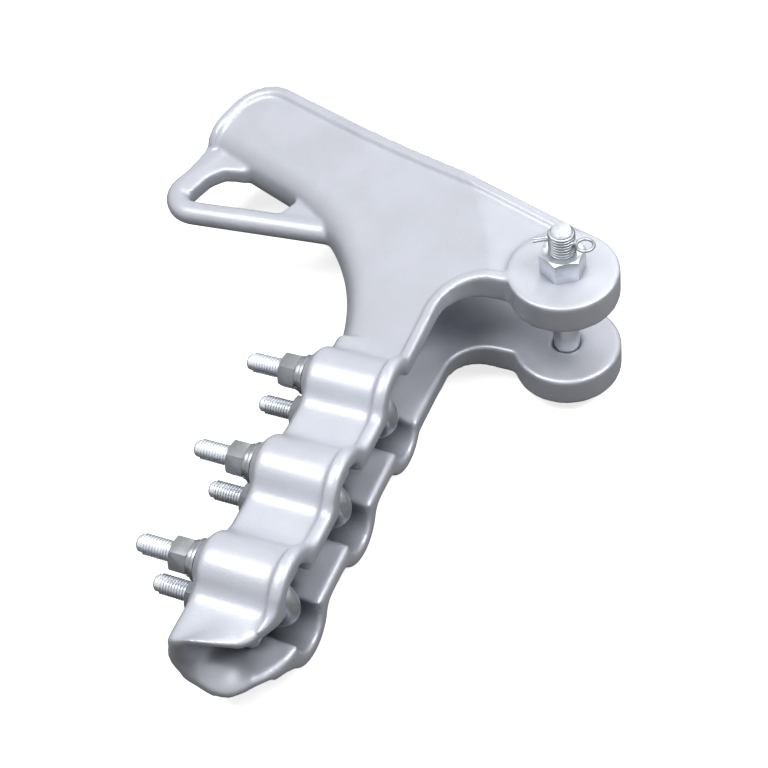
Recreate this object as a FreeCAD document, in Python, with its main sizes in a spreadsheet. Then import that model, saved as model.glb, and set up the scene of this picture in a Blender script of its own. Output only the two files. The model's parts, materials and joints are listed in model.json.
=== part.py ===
import FreeCAD, Part
import Sketcher
import math
import os

# Bolted gun-type strain clamp for an overhead line conductor.
# A cast body with a curved trough, three U-bolts with keepers, and a bolted clevis.
# Frame: origin on the clevis bolt axis in the plane of symmetry, X along the U-bolts towards
# the open side of the leg, Y up the leg towards the head, Z across the clevis.

SIZES = {
    "ear_radius": 33.3,
    "ear_width": 20.5,
    "ear_step": 4.0,
    "clevis_gap": 43.0,
    "clevis_bolt": 16.0,
    "clevis_head": 10.0,
    "clevis_nut_height": 14.8,
    "clevis_spanner": 24.0,
    "clevis_thread_end": 16.5,
    "clevis_bevel": 1.5,
    "corner_angle": 30.0,
    "cotter_wire": 4.0,
    "cotter_height": 7.5,
    "head_angle": 22.0,
    "muzzle_reach": 297.0,
    "muzzle_depth": 65.0,
    "muzzle_corner": 30.0,
    "muzzle_fall": 7.5,
    "trough_radius": 21.5,
    "trough_wall": 6.5,
    "wall_draft": 13.0,
    "channel_draft": 10.0,
    "rim_height": 3.0,
    "rim_width": 7.0,
    "web_radius": 24.0,
    "web_drop": 17.5,
    "saddle_radius": 161.0,
    "leg_floor": 119.0,
    "leg_lip": 64.5,
    "leg_end": 290.0,
    "leg_corner": 40.0,
    "leg_valley": 22.5,
    "seat_height": 3.0,
    "seat_radius": 13.5,
    "boss_edge": 4.0,
    "boss_radius": 19.5,
    "boss_blend": 12.0,
    "pocket_radius": 13.5,
    "pocket_floor": 11.0,
    "lip_height": 3.5,
    "lip_width": 8.0,
    "lip_bevel": 2.0,
    "mouth_flare": 10.0,
    "mouth_length": 28.0,
    "mouth_lift": 6.5,
    "stud_size": 12.0,
    "stud_hole": 13.5,
    "stud_spread": 38.6,
    "stud_first": 102.0,
    "stud_pitch": 68.4,
    "stud_tail": 39.4,
    "stud_bevel": 1.2,
    "bend_depth": 4.0,
    "stud_spanner": 19.0,
    "stud_nut_height": 10.8,
    "washer_radius": 12.0,
    "washer_height": 2.5,
    "spring_radius": 10.5,
    "spring_height": 3.0,
    "spring_slit": 2.2,
    "keeper_length": 50.0,
    "keeper_collar": 0.9,
    "keeper_depth": 4.0,
    "keeper_seat": 7.5,
    "eye_rod": 16.0,
    "eye_bend": 17.0,
    "eye_gusset": 13.0,
    "eye_tip_in": 30.0,
    "eye_drop": 33.3,
    "eye_angle": 26.0,
    "eye_run": 115.0,
    "eye_hole_run": 60.0,
    "keeper_foot": 9.0,
    "collar_width": 4.0,
    "collar_clearance": 0.4,
    "washer_clearance": 0.5,
    "spring_clearance": 0.35,
    "cotter_clearance": 0.3,
    "cotter_split": 0.2,
    "cotter_neck": 1.0,
    "cotter_eye": 5.0,
    "cotter_tail": 9.0,
    "cotter_spread": 28.0,
    "fit_clearance": 0.05,
    "seat_gap": 0.02,
}
STUDS = 3

doc = FreeCAD.newDocument("strain_clamp")
V = FreeCAD.Vector
sheet = doc.addObject("Spreadsheet::Sheet", "sizes")


class Size:
    """A number together with the sheet expression that gives it."""

    def __init__(self, value, text):
        self.value = float(value)
        self.text = text

    def __add__(self, other):
        other = size(other)
        return Size(self.value + other.value, f"({self.text} + {other.text})")

    def __sub__(self, other):
        other = size(other)
        return Size(self.value - other.value, f"({self.text} - {other.text})")

    def __mul__(self, other):
        other = size(other)
        return Size(self.value * other.value, f"({self.text} * {other.text})")

    def __truediv__(self, other):
        other = size(other)
        return Size(self.value / other.value, f"({self.text} / {other.text})")

    def __radd__(self, other):
        return size(other) + self

    def __rsub__(self, other):
        return size(other) - self

    def __rmul__(self, other):
        return size(other) * self

    def __neg__(self):
        return Size(-self.value, f"(0 - {self.text})")


def size(number):
    return number if isinstance(number, Size) else Size(number, repr(float(number)))


def root(number):
    return Size(math.sqrt(number.value), f"sqrt({number.text})")


def cosine(degrees):
    return Size(math.cos(math.radians(degrees.value)), f"cos({degrees.text} * 1 deg)")


def sine(degrees):
    return Size(math.sin(math.radians(degrees.value)), f"sin({degrees.text} * 1 deg)")


def fill_sheet():
    for row, (alias, value) in enumerate(SIZES.items(), start=1):
        sheet.set(f"A{row}", alias)
        sheet.set(f"B{row}", str(value))
        sheet.setAlias(f"B{row}", alias)
    doc.recompute()


fill_sheet()
S = {alias: Size(value, f"sizes.{alias}") for alias, value in SIZES.items()}


def bind(thing, path, number):
    thing.setExpression(path, size(number).text)


# Sketch helpers

def origin_plane(body, role):
    return next(feature for feature in body.Origin.OriginFeatures if feature.Role == role)


def sketch_on(body, name, role="XY_Plane", rotation=None, base=(0.0, 0.0, 0.0)):
    """A sketch on an origin plane, moved in that plane's own axes."""
    sketch = body.newObject("Sketcher::SketchObject", name)
    sketch.AttachmentSupport = (origin_plane(body, role), [""])
    sketch.MapMode = "FlatFace"
    turn = rotation if rotation else FreeCAD.Rotation()
    base = [size(number) for number in base]
    sketch.AttachmentOffset = FreeCAD.Placement(V(*[number.value for number in base]), turn)
    for axis, number in zip("xyz", base):
        bind(sketch, f"AttachmentOffset.Base.{axis}", number)
    return sketch


def pin_point(sketch, geometry, position, point):
    """Hold one sketch point at a sheet-driven place."""
    for kind, number in zip(("DistanceX", "DistanceY"), point):
        number = size(number)
        index = sketch.addConstraint(Sketcher.Constraint(kind, -1, 1, geometry, position, number.value))
        bind(sketch, f"Constraints[{index}]", number)


def draw_circle(sketch, centre, radius):
    radius = size(radius)
    place = V(size(centre[0]).value, size(centre[1]).value, 0)
    geometry = sketch.addGeometry(Part.Circle(place, V(0, 0, 1), radius.value))
    index = sketch.addConstraint(Sketcher.Constraint("Radius", geometry, radius.value))
    bind(sketch, f"Constraints[{index}]", radius)
    pin_point(sketch, geometry, 3, centre)


def arc_between(start, end, radius, turn):
    """The shorter arc from start to end; turn is 1 for anticlockwise and -1 for clockwise."""
    chord = end - start
    middle = (start + end) * 0.5
    across = V(-chord.y, chord.x, 0).normalize()
    rise = math.sqrt(max(radius ** 2 - (chord.Length / 2) ** 2, 0.0))
    centre = middle + across * (rise * turn)
    angles = [math.atan2(point.y - centre.y, point.x - centre.x) for point in (start, end)]
    if turn < 0:
        angles.reverse()
    return Part.ArcOfCircle(Part.Circle(centre, V(0, 0, 1), radius), angles[0], angles[1])


def draw_loop(sketch, points, arcs=None):
    """A closed outline. arcs gives a radius and a turn for the stretch that starts at that point."""
    arcs = arcs or {}
    places = [V(size(x).value, size(y).value, 0) for x, y in points]
    ends = []
    for index, start in enumerate(places):
        end = places[(index + 1) % len(places)]
        if index in arcs:
            radius, turn = size(arcs[index][0]), arcs[index][1]
            geometry = sketch.addGeometry(arc_between(start, end, radius.value, turn))
            number = sketch.addConstraint(Sketcher.Constraint("Radius", geometry, radius.value))
            bind(sketch, f"Constraints[{number}]", radius)
            ends.append((geometry, 1, 2) if turn > 0 else (geometry, 2, 1))
        else:
            geometry = sketch.addGeometry(Part.LineSegment(start, end))
            ends.append((geometry, 1, 2))
    for index, (geometry, first, last) in enumerate(ends):
        following = ends[(index + 1) % len(ends)]
        sketch.addConstraint(Sketcher.Constraint("Coincident", geometry, last, following[0], following[1]))
        pin_point(sketch, geometry, first, points[index])


# Feature helpers

def new_body(name, x=0.0, y=0.0, z=0.0):
    body = doc.addObject("PartDesign::Body", name)
    body.Label = name
    for axis, number in zip("xyz", (x, y, z)):
        bind(body, f"Placement.Base.{axis}", number)
    return body


def pad(body, sketch, length, both=False, back=False, name="Pad"):
    feature = body.newObject("PartDesign::Pad", name)
    feature.Profile = sketch
    feature.SideType = "Symmetric" if both else "One side"
    feature.Reversed = back
    bind(feature, "Length", length)
    doc.recompute()
    return feature


def pocket(body, sketch, length=None, both=False, back=False, name="Pocket"):
    """A cut, through everything where no length is given. It has to take some material away."""
    before = body.Shape.Volume
    feature = body.newObject("PartDesign::Pocket", name)
    feature.Profile = sketch
    feature.SideType = "Symmetric" if both else "One side"
    feature.Reversed = back
    if length is None:
        feature.Type = "ThroughAll"
    else:
        bind(feature, "Length", length)
    doc.recompute()
    if body.Shape.Volume >= before:
        raise ValueError(f"{body.Label} {name} cuts nothing")
    return feature


def edges_that(shape, test):
    return [f"Edge{number}" for number, edge in enumerate(shape.Edges, start=1) if test(edge)]


def bevel_edges(body, amount, test, name):
    """Bevel the edges that pass the test."""
    tip = body.Tip
    feature = body.newObject("PartDesign::Chamfer", name)
    feature.Base = (tip, edges_that(tip.Shape, test))
    bind(feature, "Size", amount)
    doc.recompute()


def bevel_ends(body, radius, amount, name, test):
    """Bevel the round end edges of a bolt."""
    def at_end(edge):
        is_circle = edge.Curve.TypeId == "Part::GeomCircle" and abs(edge.Curve.Radius - radius) < 0.01
        return is_circle and test(edge.CenterOfMass)

    bevel_edges(body, amount, at_end, name)


# The plan of the body, worked out from the driving sizes

ALONG = (cosine(S["head_angle"]), -sine(S["head_angle"]))
ACROSS = (sine(S["head_angle"]), cosine(S["head_angle"]))
FLOOR_OFFSET = S["ear_radius"] - S["muzzle_depth"]
SADDLE_X = -(S["leg_floor"] + S["saddle_radius"])
SADDLE_Y = (FLOOR_OFFSET - S["saddle_radius"] - ACROSS[0] * SADDLE_X) / ACROSS[1]
SADDLE_ALONG = ALONG[0] * SADDLE_X + ALONG[1] * SADDLE_Y
SADDLE_TURN = 90 - S["head_angle"]
TROUGH_AXIS = S["saddle_radius"] + S["trough_radius"]
CHANNEL_RADIUS = S["trough_radius"] - S["trough_wall"]
EAR_HALF = S["clevis_gap"] / 2 + S["ear_width"]
HEAD_HALF = EAR_HALF - S["ear_step"]
HEAD_UNDER = S["saddle_radius"] - S["muzzle_depth"]
LEG_AXIS = -(S["leg_floor"] - S["trough_radius"])
SEAT = -(S["leg_floor"] + S["seat_height"])
BEYOND = S["leg_end"] + S["muzzle_reach"]
WEB_X = -(S["leg_lip"] - S["web_radius"])
WEB_Y = -(S["web_drop"] + S["web_radius"])
LEG_BOTTOM = -S["leg_end"]
STUD_HALF = S["stud_spread"] / 2
STUD_ROWS = [-(S["stud_first"] + S["stud_pitch"] * index) for index in range(STUDS)]
LEG_TOP = STUD_ROWS[0] + S["stud_pitch"] / 2


def head_point(along, across):
    """A plan point from its distances along and across the muzzle line, from the clevis bolt."""
    return (ALONG[0] * along + ACROSS[0] * across, ALONG[1] * along + ACROSS[1] * across)


# The cast body. Its outside, its raised rim and the core that leaves its hollows are solids of
# their own, swept along the same line: straight from the muzzle, then round the saddle.

def trough_profile(sketch, radius, draft, ceiling):
    """A round floor with walls that lean outwards and stand upright where they reach the ceiling's
    width. The sketch's origin is the saddle's centre."""
    top = TROUGH_AXIS + S["saddle_radius"]
    foot_x, foot_z = TROUGH_AXIS - sine(draft) * radius, cosine(draft) * radius
    slope = sine(draft) / cosine(draft)
    upper = [(foot_x, foot_z), (foot_x + (ceiling - foot_z) / slope, ceiling), (top, ceiling)]
    lower = [(x, -z) for x, z in reversed(upper)]
    points = upper + lower + [(TROUGH_AXIS - radius, 0.0)]
    count = len(points)
    draw_loop(sketch, points, {count - 2: (radius, -1), count - 1: (radius, -1)})


def spoke_sketch(body, name, angle, centre):
    """An upright sketch whose first axis points away from a centre in plan, at an angle from X."""
    turn = FreeCAD.Rotation(V(0, 1, 0), angle.value)
    sketch = sketch_on(body, name, "XZ_Plane", turn, (centre[0], 0.0, -centre[1]))
    bind(sketch, "AttachmentOffset.Rotation.Angle", angle)
    return sketch


def turn_round(body, sketch, angle, name, back=False):
    """Turn a profile about its sketch's second axis."""
    feature = body.newObject("PartDesign::Revolution", name)
    feature.Profile = sketch
    feature.ReferenceAxis = (sketch, ["V_Axis"])
    feature.Reversed = back
    bind(feature, "Angle", angle)
    doc.recompute()


def sweep_trough(body, radius, draft, ceiling, past=0.0):
    """Turn the profile round the saddle and carry it straight on to the muzzle, or past it."""
    centre = (SADDLE_X, SADDLE_Y)
    turned = spoke_sketch(body, "saddle_section", size(0.0), centre)
    trough_profile(turned, radius, draft, ceiling)
    turn_round(body, turned, SADDLE_TURN, "saddle")
    straight = spoke_sketch(body, "muzzle_section", SADDLE_TURN, centre)
    trough_profile(straight, radius, draft, ceiling)
    pad(body, straight, S["muzzle_reach"] + SADDLE_ALONG + past, back=True, name="muzzle")


def head_outline(inset=0.0):
    """The head in plan, from the muzzle round its top edge, the ear and the web to the leg.
    With an inset it is the panel inside the rim, and it runs out over the trough's floor."""
    edge = S["ear_radius"] - inset
    end = -S["muzzle_reach"] + inset
    corner = S["muzzle_corner"] - inset
    low = edge - S["muzzle_fall"]
    lip_x = WEB_X - S["web_radius"] - inset
    points = [head_point(end, -HEAD_UNDER), head_point(end, low - corner), head_point(end + corner, low)]
    points += [head_point(0.0, edge), (0.0, -(S["web_drop"] - inset)), (WEB_X, -(S["web_drop"] - inset))]
    points += [(lip_x, WEB_Y), (lip_x, SADDLE_Y - inset), (SADDLE_X + HEAD_UNDER, SADDLE_Y - inset)]
    return points, {1: (corner, -1), 5: (S["web_radius"] + inset, 1)}


def trim_head(body, name):
    """Cut away all that lies outside the head's outline."""
    frame = sketch_on(body, name)
    draw_loop(frame, [(-BEYOND, -BEYOND), (BEYOND, -BEYOND), (BEYOND, BEYOND), (-BEYOND, BEYOND)])
    points, arcs = head_outline()
    draw_loop(frame, points, arcs)
    pocket(body, frame, BEYOND, both=True, name=f"{name}_cut")


def wave_outline(valley, radius, blend, start, end):
    """The corrugated side of the leg, looking along the U-bolts: bosses blended into valleys."""
    rise = valley + blend - STUD_HALF
    reach = root((radius + blend) * (radius + blend) - rise * rise)
    share = radius / (radius + blend)
    foot = STUD_HALF + rise * share
    upper = [(start, valley)]
    arcs = {}
    for row in STUD_ROWS:
        first = len(upper)
        upper += [(row + reach, valley), (row + reach * share, foot)]
        upper += [(row - reach * share, foot), (row - reach, valley)]
        arcs.update({first: (blend, -1), first + 1: (radius, 1), first + 2: (blend, -1)})
    upper.append((end, valley))
    return upper, arcs


def draw_wave(sketch, valley, radius, blend, start, end):
    """Both sides of the leg as one closed outline. The sketch has Y across and Z up."""
    upper, arcs = wave_outline(valley, radius, blend, start, end)
    lower = [(y, -z) for y, z in reversed(upper)]
    last = 2 * len(upper) - 2
    arcs.update({last - index: arc for index, arc in list(arcs.items())})
    draw_loop(sketch, upper + lower, arcs)


def side_sketch(body, name, x):
    """A sketch square to the U-bolts at the given X, with Y across and Z up."""
    return sketch_on(body, name, "YZ_Plane", None, (0.0, 0.0, x))


def stud_circles(body, name, x, radius):
    sketch = side_sketch(body, name, x)
    for row in STUD_ROWS:
        for side in (1, -1):
            draw_circle(sketch, (row, STUD_HALF * side), radius)
    return sketch


def mouth_bell(body, name, radius):
    """The bell at the leg's end: a curved profile turned about a line beside the trough's axis."""
    flare, long = S["mouth_flare"], S["mouth_length"]
    sketch = sketch_on(body, f"{name}_profile", "XY_Plane", None, (LEG_AXIS + S["mouth_lift"], LEG_BOTTOM, 0.0))
    bell = (long * long + flare * flare) / (flare * 2)
    points = [(0.0, long), (-radius, long), (-radius - flare, 0.0), (0.0, 0.0)]
    draw_loop(sketch, points, {1: (bell, -1)})
    turn_round(body, sketch, size(360.0), name)


def build_leg():
    """The corrugated leg with its nut seats, lip and bell mouth."""
    body = new_body("leg")
    wall = side_sketch(body, "leg_wave", -S["leg_floor"])
    draw_wave(wall, S["leg_valley"], S["boss_radius"], S["boss_blend"], LEG_TOP, LEG_BOTTOM)
    pad(body, wall, S["leg_floor"] - S["leg_lip"], name="leg_walls")
    floor_x = -SIZES["leg_floor"]

    def on_floor_edge(edge):
        box = edge.BoundBox
        return abs(box.XMin - floor_x) < 0.01 and abs(box.XMax - floor_x) < 0.01 and box.YLength > 0.01

    bevel_edges(body, S["boss_edge"], on_floor_edge, "floor_bevel")
    seats = stud_circles(body, "seats", SEAT, S["seat_radius"])
    pad(body, seats, S["seat_height"] + S["boss_edge"], name="nut_seats")
    lip = side_sketch(body, "lip_wave", -S["leg_lip"])
    blend, radius = S["boss_blend"] - S["lip_height"], S["boss_radius"] + S["lip_height"]
    draw_wave(lip, S["leg_valley"] + S["lip_height"], radius, blend, LEG_TOP, LEG_BOTTOM)
    pad(body, lip, S["lip_width"], back=True, name="lip")
    lip_x = -SIZES["leg_lip"]

    def on_lip_edge(edge):
        box = edge.BoundBox
        return abs(box.XMin - lip_x) < 0.01 and abs(box.XMax - lip_x) < 0.01 and box.YLength > 0.01

    bevel_edges(body, S["lip_bevel"], on_lip_edge, "lip_bevel")
    mouth_bell(body, "mouth", S["trough_radius"])
    corner = sketch_on(body, "leg_corner")
    inner_x, inner_y = -(S["leg_lip"] + S["leg_corner"]), LEG_BOTTOM + S["leg_corner"]
    outside = [(inner_x, LEG_BOTTOM), (-S["leg_lip"], inner_y), (0.0, inner_y)]
    outside += [(0.0, -BEYOND), (inner_x, -BEYOND)]
    draw_loop(corner, outside, {0: (S["leg_corner"], 1)})
    pocket(body, corner, BEYOND, both=True, name="corner_cut")
    return body


def build_eye(body):
    """The pulling eye under the muzzle: a round rod bent from the muzzle's end to the saddle,
    with a gusset where it runs into the saddle."""
    along, across = -(S["muzzle_reach"] - S["eye_tip_in"]), FLOOR_OFFSET - S["eye_drop"]
    slope = (cosine(S["eye_angle"]), sine(S["eye_angle"]))
    bend, inside = S["eye_bend"], FLOOR_OFFSET + S["trough_radius"] / 2
    centre = head_point(along, across)
    first, last = 180 - S["head_angle"], 270 - S["head_angle"] + S["eye_angle"]

    def rod(name, angle):
        sketch = spoke_sketch(body, f"{name}_circle", angle, centre)
        draw_circle(sketch, (bend, 0.0), S["eye_rod"] / 2)
        return sketch

    turn_round(body, rod("eye_bend", first), last - first, "eye_turn")
    pad(body, rod("eye_front", first), inside - across, name="eye_front")
    pad(body, rod("eye_back", last), S["eye_run"], back=True, name="eye_back")

    def on_rod(run):
        return (along + slope[1] * bend + slope[0] * run, across - slope[0] * bend + slope[1] * run)

    start, end = on_rod(S["eye_hole_run"]), on_rod(S["eye_run"])
    gusset = sketch_on(body, "gusset")
    draw_loop(gusset, [head_point(*point) for point in (start, end, (end[0], inside), (start[0], inside))])
    pad(body, gusset, S["eye_gusset"], both=True, name="eye_gusset")


def build_shell():
    """The outside of the head with the leg, ears and pulling eye."""
    body = new_body("shell")
    sweep_trough(body, S["trough_radius"], S["wall_draft"], HEAD_HALF)
    trim_head(body, "head_outline")
    build_eye(body)
    ear = sketch_on(body, "ear_plan")
    draw_circle(ear, (0.0, 0.0), S["ear_radius"])
    pad(body, ear, EAR_HALF * 2, both=True, name="ears")
    return body


def build_rim():
    """The raised rim round the head's edge and the collar round the muzzle."""
    body = new_body("rim")
    sweep_trough(body, S["trough_radius"] + S["rim_height"], S["wall_draft"], HEAD_HALF + S["rim_height"])
    trim_head(body, "rim_outline")
    panel = sketch_on(body, "panel")
    points, arcs = head_outline(S["rim_width"])
    draw_loop(panel, points, arcs)
    pocket(body, panel, S["muzzle_reach"], both=True, name="panel_cut")
    return body


def build_core():
    """The hollows of the body: trough, clevis gap, stud pockets and holes."""
    body = new_body("core")
    sweep_trough(body, CHANNEL_RADIUS, S["channel_draft"], S["clevis_gap"] / 2, S["trough_wall"])
    channel = sketch_on(body, "leg_channel", "XZ_Plane", None, (0.0, 0.0, -SADDLE_Y))
    corners = [(LEG_AXIS, -CHANNEL_RADIUS), (0.0, -CHANNEL_RADIUS), (0.0, CHANNEL_RADIUS)]
    corners += [(LEG_AXIS, CHANNEL_RADIUS), (LEG_AXIS - CHANNEL_RADIUS, 0.0)]
    draw_loop(channel, corners, {3: (CHANNEL_RADIUS, 1), 4: (CHANNEL_RADIUS, 1)})
    pad(body, channel, SADDLE_Y - LEG_BOTTOM + S["leg_corner"], name="leg_groove")
    mouth_bell(body, "mouth_hollow", CHANNEL_RADIUS)
    pockets = stud_circles(body, "pockets", -(S["leg_floor"] - S["pocket_floor"]), S["pocket_radius"])
    pad(body, pockets, S["leg_floor"] - S["pocket_floor"], name="stud_pockets")
    holes = stud_circles(body, "holes", SEAT - S["seat_height"], S["stud_hole"] / 2)
    pad(body, holes, S["leg_floor"], name="stud_holes")
    bolt = sketch_on(body, "bolt_hole")
    draw_circle(bolt, (0.0, 0.0), S["clevis_bolt"] / 2 + S["fit_clearance"])
    pad(body, bolt, BEYOND, both=True, name="clevis_hole")
    return body


def checked(thing):
    doc.recompute()
    bad = [item.Label for item in doc.Objects if "Invalid" in item.State or "Error" in item.State]
    if bad:
        raise ValueError(f"failed: {bad}")
    if thing.Shape.isNull() or not thing.Shape.isValid():
        raise ValueError(f"{thing.Label} has no valid shape")
    return thing


def build_clamp_body():
    outside, core = [build_shell(), build_rim(), build_leg()], build_core()
    casting = doc.addObject("Part::MultiFuse", "casting")
    casting.Shapes = outside
    cut = doc.addObject("Part::Cut", "clamp_body")
    cut.Label = "clamp_body"
    cut.Base, cut.Tool = casting, core
    return checked(cut)


# The hardware

BEND_X = -(S["leg_lip"] + S["bend_depth"] + STUD_HALF + S["stud_size"] / 2)
STUD_END = SEAT - S["stud_tail"]
NUT_SEAT = SEAT - S["washer_height"] - S["spring_height"] - S["seat_gap"] * 3


def build_u_bolt(index):
    """A bent bolt with two threaded legs. Its legs point to -X and its bend closes the leg."""
    body = new_body(f"u_bolt_{index + 1}", 0.0, STUD_ROWS[index], 0.0)
    turn = FreeCAD.Rotation(V(0, 0, 1), -90)
    bend = sketch_on(body, "bend_section", "YZ_Plane", turn, (0.0, 0.0, BEND_X))
    draw_circle(bend, (STUD_HALF, 0.0), S["stud_size"] / 2)
    turn_round(body, bend, size(180.0), "bend", back=True)
    legs = side_sketch(body, "legs", STUD_END)
    for side in (1, -1):
        draw_circle(legs, (0.0, STUD_HALF * side), S["stud_size"] / 2)
    pad(body, legs, BEND_X - STUD_END, name="straight_legs")
    end = STUD_END.value
    bevel_ends(body, SIZES["stud_size"] / 2, S["stud_bevel"], "ends", lambda place: abs(place.x - end) < 0.01)
    return checked(body)


def draw_hexagon(sketch, spanner):
    """A regular hexagon with two sides square to the first axis."""
    half = spanner / 2
    corner = spanner / root(Size(3, "3"))
    points = [(half, corner / 2), (0.0, corner), (-half, corner / 2)]
    draw_loop(sketch, points + [(-x, -y) for x, y in points])


def bevel_corners(body, spanner, level, inward):
    """Turn the corners of a hexagon off at a slant on its outer side."""
    inner = spanner / 2
    outer = spanner / root(Size(3, "3")) + S["stud_bevel"]
    rise = (outer - inner) * sine(S["corner_angle"]) / cosine(S["corner_angle"]) * inward
    sketch = sketch_on(body, "bevel", "XZ_Plane")
    draw_loop(sketch, [(inner, level), (outer, level), (outer, level + rise)])
    feature = body.newObject("PartDesign::Groove", "corner_bevel")
    feature.Profile = sketch
    feature.ReferenceAxis = (origin_plane(body, "Z_Axis"), [""])
    feature.Angle = 360.0
    doc.recompute()


def stand(body, rotation, x, y, z):
    """Turn a body from its own Z axis to where it stands."""
    body.Placement = FreeCAD.Placement(V(size(x).value, size(y).value, size(z).value), rotation)
    for axis, number in zip("xyz", (x, y, z)):
        bind(body, f"Placement.Base.{axis}", number)


TO_LEFT = FreeCAD.Rotation(V(0, 1, 0), -90)
UPRIGHT = FreeCAD.Rotation()
EYE_OUT = FreeCAD.Rotation(V(0, 0, 1), 90)


def build_nut(name, spanner, height, bore, rotation, x, y, z):
    body = new_body(name)
    hexagon = sketch_on(body, "hexagon")
    draw_hexagon(hexagon, spanner)
    pad(body, hexagon, height, name="blank")
    bevel_corners(body, spanner, height, -1)
    hole = sketch_on(body, "bore")
    draw_circle(hole, (0.0, 0.0), bore)
    pocket(body, hole, height, back=True, name="thread_bore")
    stand(body, rotation, x, y, z)
    return checked(body)


def build_washer(name, x, y, z):
    body = new_body(name)
    ring = sketch_on(body, "ring")
    draw_circle(ring, (0.0, 0.0), S["washer_radius"])
    draw_circle(ring, (0.0, 0.0), S["stud_size"] / 2 + S["washer_clearance"])
    pad(body, ring, S["washer_height"], name="disc")
    stand(body, TO_LEFT, x, y, z)
    return checked(body)


def build_spring_washer(name, x, y, z):
    """A split ring, cut across at a slant."""
    body = new_body(name)
    ring = sketch_on(body, "ring")
    draw_circle(ring, (0.0, 0.0), S["spring_radius"])
    draw_circle(ring, (0.0, 0.0), S["stud_size"] / 2 + S["spring_clearance"])
    pad(body, ring, S["spring_height"], name="coil")
    slit = sketch_on(body, "slit", "XZ_Plane")
    half, rise = S["spring_slit"] / 2, S["spring_height"]
    slant = rise / 4
    corners = [(-half - slant, 0.0), (half - slant, 0.0), (half + slant, rise), (-half + slant, rise)]
    draw_loop(slit, corners)
    pocket(body, slit, S["spring_radius"] + S["spring_slit"], back=True, name="split")
    stand(body, TO_LEFT, x, y, z)
    return checked(body)


def build_keeper(index):
    """The saddle between a U-bolt and the conductor, with collars that hold the U-bolt."""
    body = new_body(f"keeper_{index + 1}", 0.0, STUD_ROWS[index], 0.0)
    bearing = STUD_HALF - S["stud_size"] / 2 - S["seat_gap"]
    foot = BEND_X - S["keeper_depth"]
    length = S["keeper_length"]

    def saddle(name, radius, level, width):
        sketch = sketch_on(body, name, "XZ_Plane", None, (0.0, 0.0, level))
        seat = S["keeper_seat"]
        toe = S["keeper_foot"]
        points = [(BEND_X, -radius), (BEND_X + radius, 0.0), (BEND_X, radius), (foot, toe)]
        points += [(foot, seat), (foot + seat, 0.0), (foot, -seat), (foot, -toe)]
        arcs = {0: (radius, 1), 1: (radius, 1), 4: (seat, -1), 5: (seat, -1)}
        draw_loop(sketch, points, arcs)
        pad(body, sketch, width, both=level == 0.0, name=f"{name}_pad")

    saddle("saddle", bearing, 0.0, length)
    gap = S["stud_size"] / 2 + S["collar_clearance"]
    saddle("collar_upper", bearing + S["keeper_collar"], -gap - S["collar_width"], S["collar_width"])
    saddle("collar_lower", bearing + S["keeper_collar"], gap, S["collar_width"])
    return checked(body)


def build_clevis_bolt():
    """The hexagon bolt through both ears, with a hole for the split pin above its nut."""
    body = new_body("clevis_bolt", 0.0, 0.0, -EAR_HALF - S["clevis_head"] - S["seat_gap"])
    hexagon = sketch_on(body, "hexagon")
    draw_hexagon(hexagon, S["clevis_spanner"])
    pad(body, hexagon, S["clevis_head"], name="head")
    bevel_corners(body, S["clevis_spanner"], size(0.0), 1)
    shank = sketch_on(body, "shank")
    draw_circle(shank, (0.0, 0.0), S["clevis_bolt"] / 2)
    grip = EAR_HALF * 2 + S["seat_gap"] + S["clevis_nut_height"] + S["clevis_thread_end"]
    pad(body, shank, S["clevis_head"] + grip, name="shank_pad")
    top = (S["clevis_head"] + grip).value
    bevel_ends(body, SIZES["clevis_bolt"] / 2, S["clevis_bevel"], "end", lambda place: abs(place.z - top) < 0.01)
    level = COTTER_LEVEL + EAR_HALF + S["clevis_head"] + S["seat_gap"]
    hole = side_sketch(body, "cotter_hole", 0.0)
    draw_circle(hole, (0.0, level), S["cotter_wire"] / 2 + S["cotter_clearance"])
    pocket(body, hole, S["clevis_bolt"] * 2, both=True, name="cotter_bore")
    return checked(body)


COTTER_LEVEL = EAR_HALF + S["clevis_nut_height"] + S["cotter_height"]


def build_cotter():
    """The split pin: a doubled wire with an eye at one end, its two ends bent apart."""
    body = new_body("split_pin")
    wire, entry, loop = S["cotter_wire"] / 4, S["clevis_bolt"] / 2 + S["cotter_neck"], S["cotter_eye"]
    shank = sketch_on(body, "shank_circle", "XZ_Plane", None, (0.0, 0.0, entry))
    draw_circle(shank, (0.0, 0.0), wire * 2)
    pad(body, shank, entry * 2, back=True, name="shank")
    split = sketch_on(body, "split_line", "XY_Plane")
    half = S["cotter_split"] / 2
    draw_loop(split, [(-half, -entry / 2), (half, -entry / 2), (half, entry * 2), (-half, entry * 2)])
    pocket(body, split, S["cotter_wire"] * 2, both=True, name="split")
    for side in (1, -1):
        turn = FreeCAD.Rotation(V(0, 1, 0), -SIZES["cotter_spread"] * side)
        tail = sketch_on(body, f"tail_circle_{side}", "XZ_Plane", turn, (wire * side, 0.0, -entry + wire))
        bind(tail, "AttachmentOffset.Rotation.Angle", S["cotter_spread"])
        draw_circle(tail, (0.0, 0.0), wire - half)
        pad(body, tail, S["cotter_tail"], back=True, name=f"tail_{side}")
    eye = spoke_sketch(body, "eye_section", size(0.0), (0.0, -(entry + loop)))
    corners = [(cosine(size(45.0 * step)), sine(size(45.0 * step))) for step in range(8)]
    draw_loop(eye, [(loop + wire * x, wire * y) for x, y in corners])
    turn_round(body, eye, size(360.0), "eye")
    stand(body, EYE_OUT, 0.0, 0.0, COTTER_LEVEL)
    return checked(body)


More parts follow.
